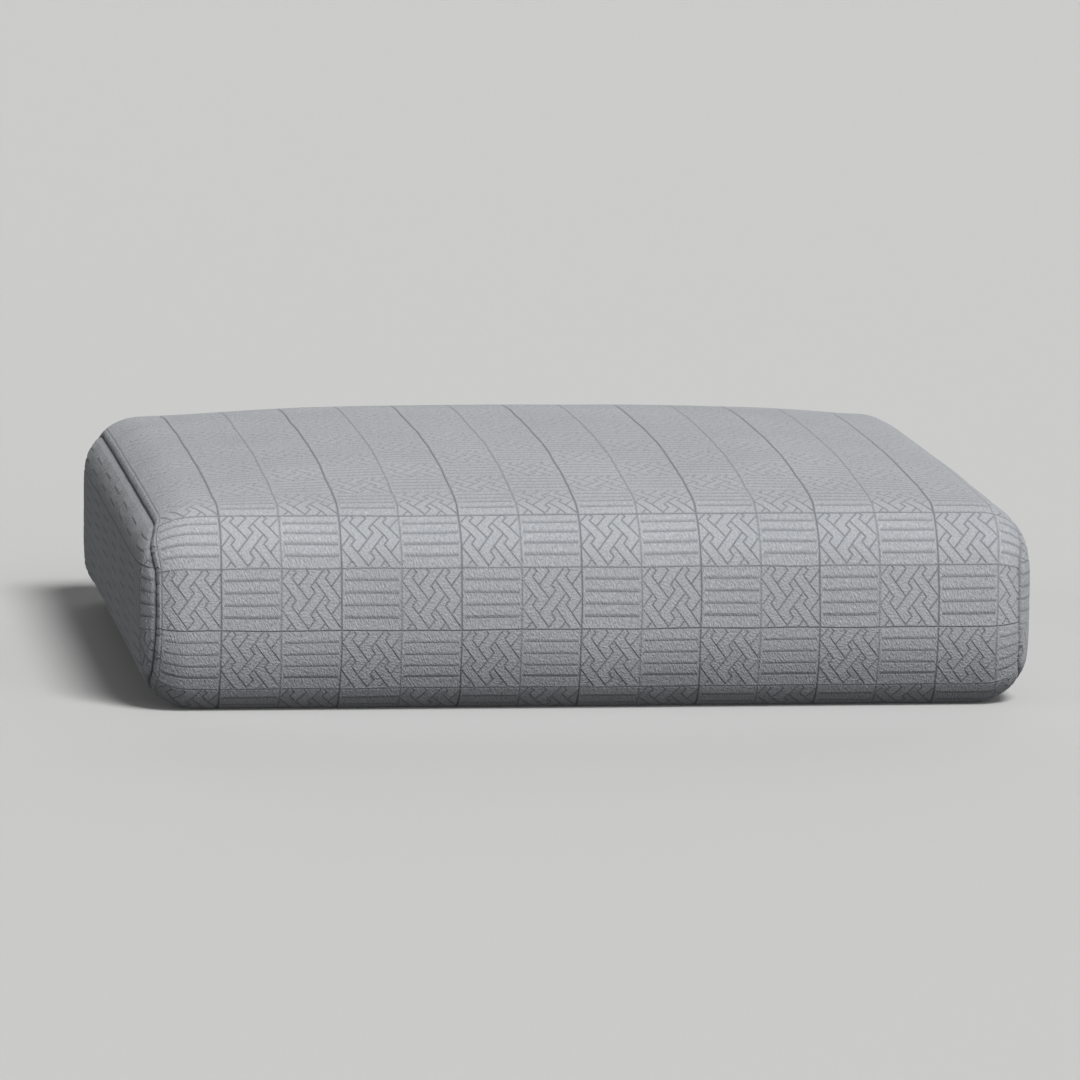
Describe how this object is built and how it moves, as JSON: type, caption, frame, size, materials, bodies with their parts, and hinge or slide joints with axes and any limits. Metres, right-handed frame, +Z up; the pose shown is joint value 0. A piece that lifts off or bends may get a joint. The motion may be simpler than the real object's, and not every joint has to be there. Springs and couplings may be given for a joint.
{
  "type": "seat cushion cover",
  "caption": "Padded sofa seat cushion in a fitted stretch cover of embossed grey cloth, with one panel wrapped over the front and a set-in panel at each end.",
  "frame": {"origin": "on the floor under the middle of the cushion", "axes": "+Z up from the underside to the seat, +X towards the right end, -Y towards the front face"},
  "size_m": [0.75, 0.72, 0.1921],
  "materials": {
    "cover_cloth": "matte"
  },
  "bodies": {
    "root": {"wrap_panel": "cover_cloth", "end_panel_right": "cover_cloth", "end_panel_left": "cover_cloth"}
  },
  "joints": []
}
